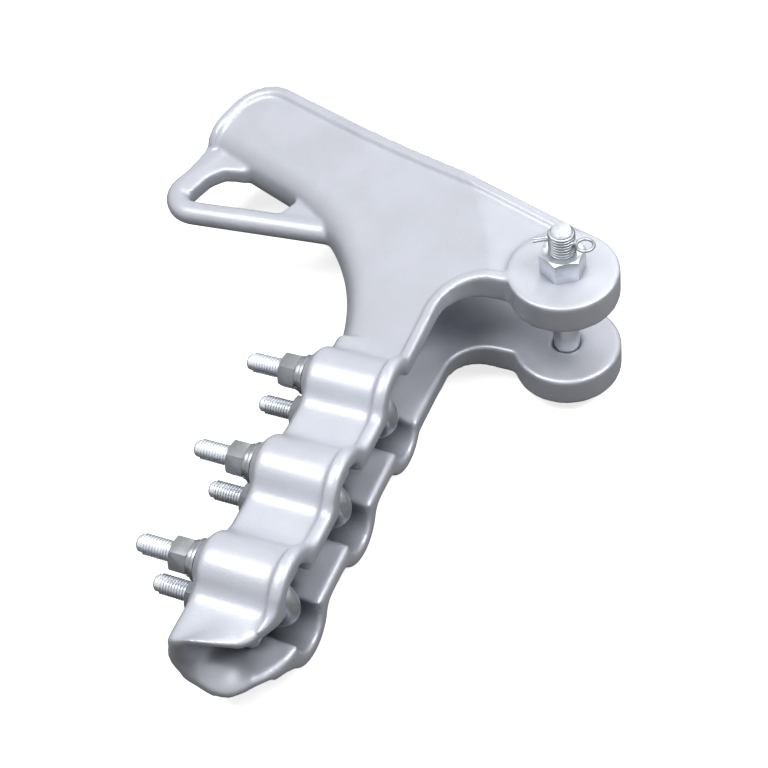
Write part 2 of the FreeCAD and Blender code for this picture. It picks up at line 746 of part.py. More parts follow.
def build_all():
    parts = [build_clamp_body()]
    for index, row in enumerate(STUD_ROWS):
        parts += [build_u_bolt(index), build_keeper(index)]
        for word, side in (("upper", 1), ("lower", -1)):
            z = STUD_HALF * side
            name = f"{index + 1}_{word}"
            parts.append(build_washer(f"washer_{name}", SEAT - S["seat_gap"], row, z))
            spring_x = SEAT - S["washer_height"] - S["seat_gap"] * 2
            parts.append(build_spring_washer(f"spring_washer_{name}", spring_x, row, z))
            bore = S["stud_size"] / 2 + S["fit_clearance"]
            parts.append(build_nut(f"nut_{name}", S["stud_spanner"], S["stud_nut_height"], bore, TO_LEFT,
                                   NUT_SEAT, row, z))
    parts.append(build_clevis_bolt())
    bore = S["clevis_bolt"] / 2 + S["fit_clearance"]
    parts.append(build_nut("clevis_nut", S["clevis_spanner"], S["clevis_nut_height"], bore, UPRIGHT,
                           0.0, 0.0, EAR_HALF + S["seat_gap"]))
    parts.append(build_cotter())
    return parts


def main():
    parts = build_all()
    os.makedirs("parts", exist_ok=True)
    for part in parts:
        solids = part.Shape.Solids
        if len(solids) != 1:
            raise ValueError(f"{part.Label} has {len(solids)} solids")
        part.Shape.exportStep(f"parts/{part.Label}.step")
        print(part.Label, round(part.Shape.Volume), len(part.Shape.Faces))


main()
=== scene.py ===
import json
import math

import bmesh
import bpy
from mathutils import Matrix, Vector


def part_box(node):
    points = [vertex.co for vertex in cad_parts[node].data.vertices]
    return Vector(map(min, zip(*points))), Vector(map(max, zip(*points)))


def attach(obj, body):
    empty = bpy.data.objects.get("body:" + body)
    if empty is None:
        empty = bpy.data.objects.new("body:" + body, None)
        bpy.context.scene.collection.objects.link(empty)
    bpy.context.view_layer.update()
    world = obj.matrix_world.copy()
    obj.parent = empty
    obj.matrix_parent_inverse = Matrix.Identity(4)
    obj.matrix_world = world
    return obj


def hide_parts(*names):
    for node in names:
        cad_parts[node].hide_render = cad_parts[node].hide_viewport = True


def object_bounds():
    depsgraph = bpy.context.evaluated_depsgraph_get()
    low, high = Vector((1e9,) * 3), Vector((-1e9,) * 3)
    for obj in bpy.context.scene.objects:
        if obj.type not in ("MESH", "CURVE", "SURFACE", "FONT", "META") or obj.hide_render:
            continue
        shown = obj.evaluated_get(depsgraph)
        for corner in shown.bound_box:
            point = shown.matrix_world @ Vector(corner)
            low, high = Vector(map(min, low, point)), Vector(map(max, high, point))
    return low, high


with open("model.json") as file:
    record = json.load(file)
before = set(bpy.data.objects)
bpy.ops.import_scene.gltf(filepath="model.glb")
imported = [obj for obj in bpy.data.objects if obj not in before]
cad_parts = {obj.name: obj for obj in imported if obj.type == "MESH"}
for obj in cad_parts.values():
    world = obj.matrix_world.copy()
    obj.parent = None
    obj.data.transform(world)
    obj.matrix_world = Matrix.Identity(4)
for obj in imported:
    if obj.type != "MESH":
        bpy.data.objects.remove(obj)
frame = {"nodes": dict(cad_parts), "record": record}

bl_info = {
    "name": "Bolted strain clamp",
    "version": (1, 0, 0),
    "blender": (4, 5, 0),
    "location": "3D View > Sidebar > Strain Clamp",
    "description": "Dresses the packed strain clamp: cast body, U-bolts, nuts, clevis bolt and studio",
    "category": "Object",
}

CAD_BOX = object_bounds()
NODES = frame["nodes"]
BODIES = frame["record"]["behaviour"]["bodies"]
BODY_OF = {node: body for body, nodes in BODIES.items() for node in nodes}
U_BOLTS = (1, 2, 3)
MM = 0.001
WHITE = (1.0, 1.0, 1.0, 1.0)


# Sizes and colours a user would change

class CastingSettings(bpy.types.PropertyGroup):
    """The cast body and the keepers."""
    voxel: bpy.props.FloatProperty(
        name="Voxel", description="Grid size used to round the casting's edges",
        default=1.05 * MM, min=0.8 * MM, unit="LENGTH")
    rounding: bpy.props.IntProperty(
        name="Rounding", description="Rounds of smoothing over the cast edges", default=26, min=0, max=80)
    thickness: bpy.props.IntProperty(
        name="Thickness", description="Rounds that give thin walls their thickness back",
        default=6, min=0, max=40)
    triangles: bpy.props.IntProperty(
        name="Triangles", description="Most triangles left in the cast body", default=185000, min=20000)
    keeper_edge: bpy.props.FloatProperty(
        name="Keeper edge", description="Radius on the edges of the keepers",
        default=0.9 * MM, unit="LENGTH")
    colour: bpy.props.FloatVectorProperty(
        name="Cast aluminium", description="Colour of the blasted casting", subtype="COLOR",
        size=3, default=(0.54, 0.56, 0.62))
    # The hollows colour is painted shade, laid into the casting's creases and enclosed places
    painted_shade_colour: bpy.props.FloatVectorProperty(
        name="Hollows", description="Colour painted into the casting's hollows and enclosed places as shade", subtype="COLOR",
        size=3, default=(0.09, 0.1, 0.12))
    grain: bpy.props.FloatProperty(
        name="Grain", description="Size of the casting's grain", default=1.3 * MM, unit="LENGTH")


class SteelSettings(bpy.types.PropertyGroup):
    """The galvanised bolts, nuts and washers."""
    colour: bpy.props.FloatVectorProperty(
        name="Galvanised steel", description="Colour of the zinc coat", subtype="COLOR",
        size=3, default=(0.42, 0.44, 0.47))
    spangle: bpy.props.FloatProperty(
        name="Spangle", description="Size of the zinc crystals", default=2.2 * MM, unit="LENGTH")
    edge: bpy.props.FloatProperty(
        name="Edge", description="Rounding on the edges of nuts, heads and washers",
        default=0.35 * MM, unit="LENGTH")
    stud_radius: bpy.props.FloatProperty(
        name="Stud radius", description="Outer radius of the U-bolt's legs", default=6.0 * MM, unit="LENGTH")
    stud_pitch: bpy.props.FloatProperty(
        name="Stud pitch", description="Pitch of the U-bolt's thread", default=1.75 * MM, unit="LENGTH")
    stud_thread: bpy.props.FloatProperty(
        name="Stud thread", description="Threaded length at each end of a U-bolt",
        default=44.0 * MM, unit="LENGTH")
    clevis_radius: bpy.props.FloatProperty(
        name="Clevis bolt radius", description="Outer radius of the clevis bolt",
        default=8.0 * MM, unit="LENGTH")
    clevis_pitch: bpy.props.FloatProperty(
        name="Clevis pitch", description="Pitch of the clevis bolt's thread",
        default=2.0 * MM, unit="LENGTH")
    clevis_thread: bpy.props.FloatProperty(
        name="Clevis thread", description="Threaded length of the clevis bolt",
        default=32.0 * MM, unit="LENGTH")


class StudioSettings(bpy.types.PropertyGroup):
    """Floor, lamps and camera."""
    key_power: bpy.props.FloatProperty(
        name="Key", description="Power of the lamp high above the U-bolts' threads",
        default=13.5, unit="POWER")
    back_power: bpy.props.FloatProperty(
        name="Back", description="Power of the lamp behind the head", default=2.8, unit="POWER")
    side_power: bpy.props.FloatProperty(
        name="Side", description="Power of the lamp that shines into the trough from the clevis's side",
        default=9.0, unit="POWER")
    sky: bpy.props.FloatProperty(
        name="Sky", description="Strength of the even light from all sides", default=0.14, min=0.0)
    floor_colour: bpy.props.FloatVectorProperty(
        name="Floor", description="Colour of the pale floor", subtype="COLOR",
        size=3, default=(0.9, 0.9, 0.9))
    floor_glow: bpy.props.FloatProperty(
        name="Floor glow", description="How much the floor is lifted towards white for the camera",
        default=0.75, min=0.0)
    floor_bounce: bpy.props.FloatProperty(
        name="Floor bounce", description="Share of its light that the floor throws back on the clamp",
        default=0.17, min=0.0, max=1.0)
    camera_place: bpy.props.FloatVectorProperty(
        name="Camera", description="Where the camera stands", subtype="TRANSLATION",
        size=3, default=(0.2223, -0.5939, 0.6718))
    camera_yaw: bpy.props.FloatProperty(
        name="Yaw", description="The camera's turn about the upright axis", subtype="ANGLE", default=-0.541)
    camera_pitch: bpy.props.FloatProperty(
        name="Pitch", description="How far the camera looks down", subtype="ANGLE", default=0.843)
    camera_roll: bpy.props.FloatProperty(
        name="Roll", description="The camera's turn about its own line of sight",
        subtype="ANGLE", default=-0.189)
    camera_lens: bpy.props.FloatProperty(
        name="Lens", description="Focal length in millimetres on a 36 mm sensor", default=71.1)


# Meshes

WELD_DISTANCE = 0.002 * MM
FLAT_ANGLE = math.radians(0.5)
BEVEL_ANGLE = math.radians(28)
BEVEL_SEGMENTS = 2
SHARP_ANGLE = math.radians(35)


def new_object(name, mesh):
    piece = bpy.data.objects.new(name, mesh)
    bpy.context.scene.collection.objects.link(piece)
    return piece


def merged_copy(node, name):
    """A copy of a CAD node whose triangles share their corners."""
    mesh = NODES[node].data.copy()
    mesh.name = name
    work = bmesh.new()
    work.from_mesh(mesh)
    bmesh.ops.remove_doubles(work, verts=work.verts, dist=WELD_DISTANCE)
    work.to_mesh(mesh)
    work.free()
    mesh.materials.clear()
    return new_object(name, mesh)


def apply_modifiers(piece):
    """Put the result of a piece's modifiers into its mesh."""
    evaluated = piece.evaluated_get(bpy.context.evaluated_depsgraph_get())
    mesh = bpy.data.meshes.new_from_object(evaluated)
    mesh.name = piece.name
    piece.modifiers.clear()
    piece.data = mesh


def smooth_shading(piece, sharp_angle=None):
    piece.data.polygons.foreach_set("use_smooth", [True] * len(piece.data.polygons))
    if sharp_angle is not None:
        piece.data.set_sharp_from_angle(angle=sharp_angle)


def put_on(piece, nodes, material):
    """Let a finished piece stand for CAD nodes of one body."""
    piece.data.materials.clear()
    piece.data.materials.append(material)
    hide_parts(*nodes)
    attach(piece, BODY_OF[nodes[0]])


def bevelled_copy(node, name, width):
    """A copy of a CAD node with small rounded edges."""
    piece = merged_copy(node, name)
    flat = piece.modifiers.new("flat_faces", "DECIMATE")
    flat.decimate_type = "DISSOLVE"
    flat.angle_limit = FLAT_ANGLE
    bevel = piece.modifiers.new("edges", "BEVEL")
    bevel.width = width
    bevel.segments = BEVEL_SEGMENTS
    bevel.limit_method = "ANGLE"
    bevel.angle_limit = BEVEL_ANGLE
    apply_modifiers(piece)
    smooth_shading(piece, SHARP_ANGLE)
    return piece


# Node helpers

def new_group(name, kind, inputs, outputs):
    tree = bpy.data.node_groups.new(name, kind)
    for label, socket_type, value in inputs:
        socket = tree.interface.new_socket(label, in_out="INPUT", socket_type=socket_type)
        if value is not None:
            socket.default_value = value
    for label, socket_type in outputs:
        tree.interface.new_socket(label, in_out="OUTPUT", socket_type=socket_type)
    return tree, tree.nodes.new("NodeGroupInput"), tree.nodes.new("NodeGroupOutput")


def math_node(tree, operation, *values, clamp=False):
    node = tree.nodes.new("ShaderNodeMath")
    node.operation = operation
    node.use_clamp = clamp
    for socket, value in zip(node.inputs, values):
        if isinstance(value, (int, float)):
            socket.default_value = value
        else:
            tree.links.new(value, socket)
    return node.outputs["Value"]


def linked_node(tree, kind, **links):
    """A node whose inputs are linked to the given sockets, or to the first output of the given nodes."""
    node = tree.nodes.new(kind)
    for label, value in links.items():
        source = value.outputs[0] if hasattr(value, "outputs") else value
        tree.links.new(source, node.inputs[label.replace("_", " ")])
    return node


# Threads. Each is a ridge round a bolt that is slimmed to the thread's root.

CREST_INSET = 0.03 * MM  # from the bolt's outer radius
RIDGE_DEPTH = 0.55  # of the pitch
ROOT_DEPTH = 0.6  # of the pitch
STEPS_PER_TURN = 36
TAPER = 0.5 * MM  # length over which the bolt slims
STUD_LEAD, STUD_SHORTER = 0.5 * MM, 3.6 * MM  # where a ridge starts and how much shorter it is
CLEVIS_LEAD, CLEVIS_SHORTER = 0.8 * MM, 3.0 * MM


def build_thread_group():
    """A helical ridge of triangular section along Z, turned, and repeated at even steps."""
    nowhere = (0.0, 0.0, 0.0)
    tree, given, result = new_group(
        "thread_ridge", "GeometryNodeTree",
        [("Crest", "NodeSocketFloat", 6.0 * MM), ("Pitch", "NodeSocketFloat", 1.75 * MM),
         ("Turns", "NodeSocketFloat", 10.0), ("Start", "NodeSocketVector", nowhere),
         ("Step", "NodeSocketVector", nowhere), ("Turn", "NodeSocketVector", nowhere),
         ("Count", "NodeSocketInt", 1), ("Steps", "NodeSocketInt", STEPS_PER_TURN),
         ("Material", "NodeSocketMaterial", None)],
        [("Geometry", "NodeSocketGeometry")])
    depth = math_node(tree, "MULTIPLY", given.outputs["Pitch"], RIDGE_DEPTH)
    middle = math_node(tree, "SUBTRACT", given.outputs["Crest"], depth)
    length = math_node(tree, "MULTIPLY", given.outputs["Pitch"], given.outputs["Turns"])
    helix = linked_node(
        tree, "GeometryNodeCurveSpiral", Resolution=given.outputs["Steps"], Rotations=given.outputs["Turns"],
        Start_Radius=middle, End_Radius=middle, Height=length)
    upright = linked_node(tree, "GeometryNodeSetCurveNormal", Curve=helix)
    upright.mode = "Z_UP"
    section = linked_node(tree, "GeometryNodeCurvePrimitiveCircle", Radius=depth)
    section.inputs["Resolution"].default_value = 3
    point_out = linked_node(tree, "GeometryNodeTransform", Geometry=section)
    point_out.inputs["Rotation"].default_value = (0.0, 0.0, math.pi)
    ridge = linked_node(tree, "GeometryNodeCurveToMesh", Curve=upright, Profile_Curve=point_out)
    places = linked_node(
        tree, "GeometryNodeMeshLine", Count=given.outputs["Count"], Start_Location=given.outputs["Start"],
        Offset=given.outputs["Step"])
    spread = linked_node(
        tree, "GeometryNodeInstanceOnPoints", Points=places, Instance=ridge, Rotation=given.outputs["Turn"])
    solid = linked_node(tree, "GeometryNodeRealizeInstances", Geometry=spread)
    finish = linked_node(
        tree, "GeometryNodeSetMaterial", Geometry=solid, Material=given.outputs["Material"])
    tree.links.new(finish.outputs["Geometry"], result.inputs["Geometry"])
    return tree


def thread_piece(name, body, slot, material, **values):
    """A thread's ridge as a plain mesh that rides on a body."""
    piece = new_object(name, bpy.data.meshes.new(name))
    ridge = piece.modifiers.new("thread", "NODES")
    tree = bpy.data.node_groups.get("thread_ridge") or build_thread_group()
    ridge.node_group = tree
    values["Material"] = material
    for item in tree.interface.items_tree:
        if item.item_type == "SOCKET" and item.in_out == "INPUT" and item.name in values:
            ridge[item.identifier] = values[item.name]
    apply_modifiers(piece)
    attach(piece, body)
    return piece


def root_share(radius, pitch):
    """The share of a bolt's radius that is left at the root of its thread."""
    return (radius - ROOT_DEPTH * pitch) / radius


def slim_beyond(piece, plane, axis, centres, share):
    """Shrink a bolt towards its centre lines beyond a plane, to the root of its thread."""
    level = Vector(plane).dot(axis)
    work = bmesh.new()
    work.from_mesh(piece.data)
    for offset in (0.0, TAPER):
        everything = work.verts[:] + work.edges[:] + work.faces[:]
        bmesh.ops.bisect_plane(work, geom=everything, plane_co=Vector(plane) + axis * offset, plane_no=axis)

    def from_line(point, place):
        away = point - place
        return away - axis * away.dot(axis)

    for vert in work.verts:
        if vert.co.dot(axis) > level + TAPER / 2:
            centre = min(centres, key=lambda place: from_line(vert.co, place).length)
            vert.co -= from_line(vert.co, centre) * (1.0 - share)
    work.to_mesh(piece.data)
    work.free()


# Shader groups

TURN_GAIN = 14.0  # from a pointiness past its limit to a full mask
OPEN_SHARE = 0.66  # of the surroundings, above which a place isn't enclosed
ENCLOSED_GAIN = 3.0
OCCLUSION_SAMPLES = 12


def noise_node(tree, vector, scale, detail, roughness=0.55):
    node = tree.nodes.new("ShaderNodeTexNoise")
    node.inputs["Detail"].default_value = detail
    node.inputs["Roughness"].default_value = roughness
    tree.links.new(vector, node.inputs["Vector"])
    tree.links.new(scale, node.inputs["Scale"])
    return node.outputs["Fac"]


def ramp_node(tree, value, low, high):
    node = tree.nodes.new("ShaderNodeMapRange")
    node.interpolation_type = "SMOOTHSTEP"
    node.inputs["From Min"].default_value = low
    node.inputs["From Max"].default_value = high
    tree.links.new(value, node.inputs["Value"])
    return node.outputs["Result"]


def mix_colour(tree, factor, first, second):
    node = tree.nodes.new("ShaderNodeMix")
    node.data_type = "RGBA"
    tree.links.new(factor, node.inputs["Factor"])
    for socket, value in ((node.inputs["A"], first), (node.inputs["B"], second)):
        if hasattr(value, "links"):
            tree.links.new(value, socket)
        else:
            socket.default_value = (*value, 1.0)
    return node.outputs["Result"]


def build_grain_group():
    """Fine cast or zinc grain: a height for bumps, a slow cloud and a fine speckle."""
    tree, given, result = new_group(
        "surface_grain", "ShaderNodeTree",
        [("Grain Size", "NodeSocketFloat", 1.0 * MM), ("Cloud Size", "NodeSocketFloat", 30.0 * MM)],
        [("Height", "NodeSocketFloat"), ("Cloud", "NodeSocketFloat"), ("Speckle", "NodeSocketFloat")])
    place = tree.nodes.new("ShaderNodeTexCoord").outputs["Object"]
    fine = math_node(tree, "DIVIDE", 1.0, given.outputs["Grain Size"])
    slow = math_node(tree, "DIVIDE", 1.0, given.outputs["Cloud Size"])
    grain = noise_node(tree, place, fine, detail=3.0)
    cloud = noise_node(tree, place, slow, detail=5.0, roughness=0.6)
    speckle = noise_node(tree, place, math_node(tree, "MULTIPLY", fine, 2.7), detail=1.0)
    tree.links.new(grain, result.inputs["Height"])
    tree.links.new(ramp_node(tree, cloud, low=0.3, high=0.7), result.inputs["Cloud"])
    tree.links.new(ramp_node(tree, speckle, low=0.35, high=0.65), result.inputs["Speckle"])
    return tree


def build_wear_and_shade_group():
    """Masks for worn ridges that also carry a painted highlight, and for hollows that get painted shade,
    from how sharply the surface turns, and for enclosed places that get painted shade, from how much of
    their surroundings lies within reach."""
    tree, given, result = new_group(
        "edge_wear", "ShaderNodeTree",
        [("Ridge", "NodeSocketFloat", 0.56), ("Hollow", "NodeSocketFloat", 0.46),
         ("Reach", "NodeSocketFloat", 30 * MM)],
        [("Ridges", "NodeSocketFloat"), ("Hollows", "NodeSocketFloat"), ("Enclosed", "NodeSocketFloat")])
    turn = tree.nodes.new("ShaderNodeNewGeometry").outputs["Pointiness"]
    around = tree.nodes.new("ShaderNodeAmbientOcclusion")
    around.samples = OCCLUSION_SAMPLES
    tree.links.new(given.outputs["Reach"], around.inputs["Distance"])
    for mask, high, low, gain in (
            ("Ridges", turn, given.outputs["Ridge"], TURN_GAIN),
            ("Hollows", given.outputs["Hollow"], turn, TURN_GAIN),
            ("Enclosed", OPEN_SHARE, around.outputs["AO"], ENCLOSED_GAIN)):
        past = math_node(tree, "SUBTRACT", high, low)
        tree.links.new(math_node(tree, "MULTIPLY", past, gain, clamp=True), result.inputs[mask])
    return tree


# Materials. The brightness of a layer is a factor of the material's own colour.

# The bright factors lighten grain and ridges, the ridges as worn edges with a painted highlight
CAST_BRIGHT, CAST_DULL = 1.3, 0.93
# The last zinc factor darkens hollows as painted shade
ZINC_BRIGHT, ZINC_DULL, ZINC_PAINTED_SHADE = 1.2, 0.9, 0.4


def new_material(name):
    material = bpy.data.materials.new(name)
    material.use_nodes = True
    return material, material.node_tree, material.node_tree.nodes["Principled BSDF"]


def use_group(tree, group, **values):
    node = tree.nodes.new("ShaderNodeGroup")
    node.node_tree = group
    for label, value in values.items():
        node.inputs[label.replace("_", " ")].default_value = value
    return node


def shaded(colour, factor):
    return [min(1.0, channel * factor) for channel in colour]


def add_layers(tree, base, layers):
    """Lay colours over a base, each where its mask is bright and up to its share."""
    for mask, share, colour in layers:
        base = mix_colour(tree, math_node(tree, "MULTIPLY", mask, share), base, colour)
    return base


def add_bump(tree, shader, height, strength, distance):
    node = tree.nodes.new("ShaderNodeBump")
    node.inputs["Strength"].default_value = strength
    node.inputs["Distance"].default_value = distance
    tree.links.new(height, node.inputs["Height"])
    tree.links.new(node.outputs["Normal"], shader.inputs["Normal"])


def cast_aluminium(settings, grain_group, wear_and_shade_group):
    material, tree, shader = new_material("cast_aluminium")
    grain = use_group(tree, grain_group, Grain_Size=settings.grain, Cloud_Size=38 * MM).outputs
    edges = use_group(tree, wear_and_shade_group, Ridge=0.53, Hollow=0.47).outputs
    bright, dull = shaded(settings.colour, CAST_BRIGHT), shaded(settings.colour, CAST_DULL)
    base = mix_colour(tree, grain["Cloud"], dull, settings.colour)
    # Speckle is grain; ridges are worn edges with a painted highlight; hollows and enclosed places get
    # painted shade
    base = add_layers(tree, base, (
        (grain["Speckle"], 0.25, bright), (edges["Ridges"], 0.6, bright),
        (edges["Hollows"], 0.5, settings.painted_shade_colour), (edges["Enclosed"], 0.85, settings.painted_shade_colour)))
    tree.links.new(base, shader.inputs["Base Color"])
    spread, least = 0.08, 0.36
    rough = math_node(tree, "MULTIPLY_ADD", grain["Cloud"], spread, least)
    rough = math_node(tree, "MULTIPLY_ADD", edges["Ridges"], -spread, rough)
    tree.links.new(rough, shader.inputs["Roughness"])
    shader.inputs["Metallic"].default_value = 0.38
    add_bump(tree, shader, grain["Height"], strength=0.22, distance=0.5 * MM)
    return material


def galvanised_steel(name, tone, settings, grain_group, wear_and_shade_group):
    """Zinc-coated steel with crystals, its tone a factor of the zinc's colour."""
    material, tree, shader = new_material(name)
    grain = use_group(tree, grain_group, Grain_Size=0.7 * MM, Cloud_Size=9 * MM).outputs
    edges = use_group(tree, wear_and_shade_group, Ridge=0.55, Hollow=0.46).outputs
    place = tree.nodes.new("ShaderNodeTexCoord").outputs["Object"]
    crystals = tree.nodes.new("ShaderNodeTexVoronoi")
    crystals.inputs["Scale"].default_value = 1.0 / settings.spangle
    tree.links.new(place, crystals.inputs["Vector"])
    shade = tree.nodes.new("ShaderNodeSeparateColor")
    tree.links.new(crystals.outputs["Color"], shade.inputs["Color"])
    colour = shaded(settings.colour, tone)
    dark, light, painted_shade = (shaded(colour, factor) for factor in (ZINC_DULL, ZINC_BRIGHT, ZINC_PAINTED_SHADE))
    base = mix_colour(tree, shade.outputs["Red"], dark, colour)
    # Cloud is random tone; hollows get painted shade; ridges are worn edges with a painted highlight
    base = add_layers(tree, base, (
        (grain["Cloud"], 0.5, light), (edges["Hollows"], 0.7, painted_shade), (edges["Ridges"], 0.5, light)))
    tree.links.new(base, shader.inputs["Base Color"])
    spread, least = 0.06, 0.34
    rough = math_node(tree, "MULTIPLY_ADD", shade.outputs["Green"], spread, least)
    tree.links.new(rough, shader.inputs["Roughness"])
    shader.inputs["Metallic"].default_value = 0.95
    add_bump(tree, shader, grain["Height"], strength=0.18, distance=0.25 * MM)
    return material


# Each galvanised material's name and tone. The tones are painted light and shade: one zinc colour made
# lighter for the studs and the clevis bolt, darker for the nuts, washers and split pin.
GALVANISED = {
    "studs": ("galvanised_studs", 1.6),
    "nuts": ("galvanised_nuts", 0.66),
    "clevis": ("galvanised_clevis", 1.4),
    "pin": ("split_pin_steel", 0.95),
}
MATERIALS = {}


def make_materials():
    scene = bpy.context.scene
    groups = build_grain_group(), build_wear_and_shade_group()
    MATERIALS["casting"] = cast_aluminium(scene.clamp_casting, *groups)
    for key, (name, tone) in GALVANISED.items():
        MATERIALS[key] = galvanised_steel(name, tone, scene.clamp_steel, *groups)


# Pieces

class ClampOperator:
    bl_options = {"REGISTER", "UNDO"}


# The web in the corner between the pulling eye's front bar and the muzzle: its outline in the
# casting's middle plane and half its thickness, in millimetres
EYE_WEB = (
    (-278, 36), (-276.5, 43), (-273.5, 54), (-266, 62.5), (-252, 64), (-243, 69), (-255, 77),
    (-288, 84), (-289, 72), (-292, 50), (-290, 40))
EYE_WEB_HALF = 6.5

# Where the casting is softened once more: a box's low and high corner, the distance from its sides
# over which this fades in, and the rounds of smoothing
SOFT_REGIONS = {
    "trough": ((-80 * MM, -0.275, -23 * MM), (-52 * MM, -70 * MM, 23 * MM), 2.5 * MM, 34),
    "mouth": ((-0.13, -0.31, -0.06), (-50 * MM, -0.262, 0.06), 5 * MM, 50),
    "eye": ((-0.295, 18 * MM, -12 * MM), (-0.235, 80 * MM, 12 * MM), 4 * MM, 28),
}
SMOOTHING = 0.5  # how far one round moves a corner towards its neighbours' middle

U_BOLT_EDGE = 0.2 * MM
PIN_EDGE = 0.1 * MM
PIN_HOLE_CLEARANCE = 0.4 * MM


def add_plate(piece, outline, half):
    """Add an upright-sided plate to a piece's mesh. Its outline and half thickness are in millimetres."""
    work = bmesh.new()
    work.from_mesh(piece.data)
    bottom, top = ([work.verts.new((x * MM, y * MM, z * MM)) for x, y in outline] for z in (-half, half))
    work.faces.new(reversed(bottom))
    work.faces.new(top)
    for index in range(len(outline)):
        after = (index + 1) % len(outline)
        work.faces.new((bottom[index], bottom[after], top[after], top[index]))
    bmesh.ops.recalc_face_normals(work, faces=work.faces[-len(outline) - 2:])
    work.to_mesh(piece.data)
    work.free()


def add_smoothing(piece, label, rounds, factor=SMOOTHING):
    smooth = piece.modifiers.new(label, "SMOOTH")
    smooth.factor = factor
    smooth.iterations = rounds
    return smooth


def soften_region(piece, label, low, high, fade, rounds):
    """Smooth the part of a piece inside a box, fading in from the box's sides."""
    group = piece.vertex_groups.new(name=label)
    for vert in piece.data.vertices:
        inside = min(min(value - first, last - value)
                     for value, first, last in zip(vert.co, low, high))
        if inside > 0.0:
            group.add([vert.index], min(1.0, inside / fade), "REPLACE")
    add_smoothing(piece, label, rounds).vertex_group = label
    apply_modifiers(piece)


def thin_out(piece, most):
    """Leave at most this many triangles."""
    present = sum(len(face.vertices) - 2 for face in piece.data.polygons)
    thin = piece.modifiers.new("thin", "DECIMATE")
    thin.ratio = min(1.0, most / present)
    apply_modifiers(piece)


class CLAMP_OT_casting(ClampOperator, bpy.types.Operator):
    """Add the pulling eye's web to the cast body and round its edges as a mould leaves them"""
    bl_idname = "clamp.casting"
    bl_label = "Cast body"

    def execute(self, context):
        settings = context.scene.clamp_casting
        piece = merged_copy("clamp_body", "cast_body")
        add_plate(piece, EYE_WEB, EYE_WEB_HALF)
        grid = piece.modifiers.new("grid", "REMESH")
        grid.mode = "VOXEL"
        grid.voxel_size = settings.voxel
        add_smoothing(piece, "edges", settings.rounding)
        add_smoothing(piece, "walls", settings.thickness, -SMOOTHING)
        add_smoothing(piece, "steps", settings.thickness)
        apply_modifiers(piece)
        for label, region in SOFT_REGIONS.items():
            soften_region(piece, label, *region)
        thin_out(piece, settings.triangles)
        smooth_shading(piece)
        put_on(piece, ["clamp_body"], MATERIALS["casting"])
        return {"FINISHED"}


class CLAMP_OT_keepers(ClampOperator, bpy.types.Operator):
    """Round the keepers' edges"""
    bl_idname = "clamp.keepers"
    bl_label = "Keepers"

    def execute(self, context):
        edge = context.scene.clamp_casting.keeper_edge
        for number in U_BOLTS:
            piece = bevelled_copy(f"keeper_{number}", f"keeper_{number}_cast", edge)
            put_on(piece, [f"keeper_{number}"], MATERIALS["casting"])
        return {"FINISHED"}


class CLAMP_OT_u_bolts(ClampOperator, bpy.types.Operator):
    """Thread the U-bolts' legs and give them a galvanised finish"""
    bl_idname = "clamp.u_bolts"
    bl_label = "U-bolts"

    def execute(self, context):
        steel = context.scene.clamp_steel
        radius, pitch, length = steel.stud_radius, steel.stud_pitch, steel.stud_thread
        for number in U_BOLTS:
            node = f"u_bolt_{number}"
            low, high = (Vector(corner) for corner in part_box(node))
            row, half = (low.y + high.y) / 2, (high.z - low.z) / 2 - radius
            piece = bevelled_copy(node, f"{node}_steel", U_BOLT_EDGE)
            legs = [Vector((0.0, row, half)), Vector((0.0, row, -half))]
            slim_beyond(piece, (low.x + length, row, 0.0), Vector((-1.0, 0.0, 0.0)), legs,
                        root_share(radius, pitch))
            put_on(piece, [node], MATERIALS["studs"])
            thread_piece(f"{node}_thread", BODY_OF[node], "u_bolt_hardware", MATERIALS["studs"],
                         Crest=radius - CREST_INSET, Pitch=pitch, Turns=(length - STUD_SHORTER) / pitch,
                         Count=2, Start=(low.x + length - STUD_LEAD, row, half),
                         Step=(0.0, 0.0, -2 * half), Turn=(0.0, -math.pi / 2, 0.0))
        return {"FINISHED"}


class CLAMP_OT_nuts(ClampOperator, bpy.types.Operator):
    """Round the edges of the nuts, washers and spring washers"""
    bl_idname = "clamp.nuts"
    bl_label = "Nuts and washers"

    def execute(self, context):
        edge = context.scene.clamp_steel.edge
        for number in U_BOLTS:
            for side in ("upper", "lower"):
                for kind in ("nut", "washer", "spring_washer"):
                    node = f"{kind}_{number}_{side}"
                    piece = bevelled_copy(node, f"{node}_steel", edge)
                    put_on(piece, [node], MATERIALS["nuts"])
        return {"FINISHED"}


def open_hole(piece, pin_box):
    """Take the thread away where the split pin's hole goes through it."""
    low, high = (Vector(corner) for corner in pin_box)
    middle, reach = (low.z + high.z) / 2, (high.z - low.z) / 2 + PIN_HOLE_CLEARANCE
    work = bmesh.new()
    work.from_mesh(piece.data)

    def from_pin(face):
        place = face.calc_center_median()
        return math.hypot(place.y, place.z - middle)

    gone = [face for face in work.faces if from_pin(face) < reach]
    bmesh.ops.delete(work, geom=gone, context="FACES")
    work.to_mesh(piece.data)
    work.free()


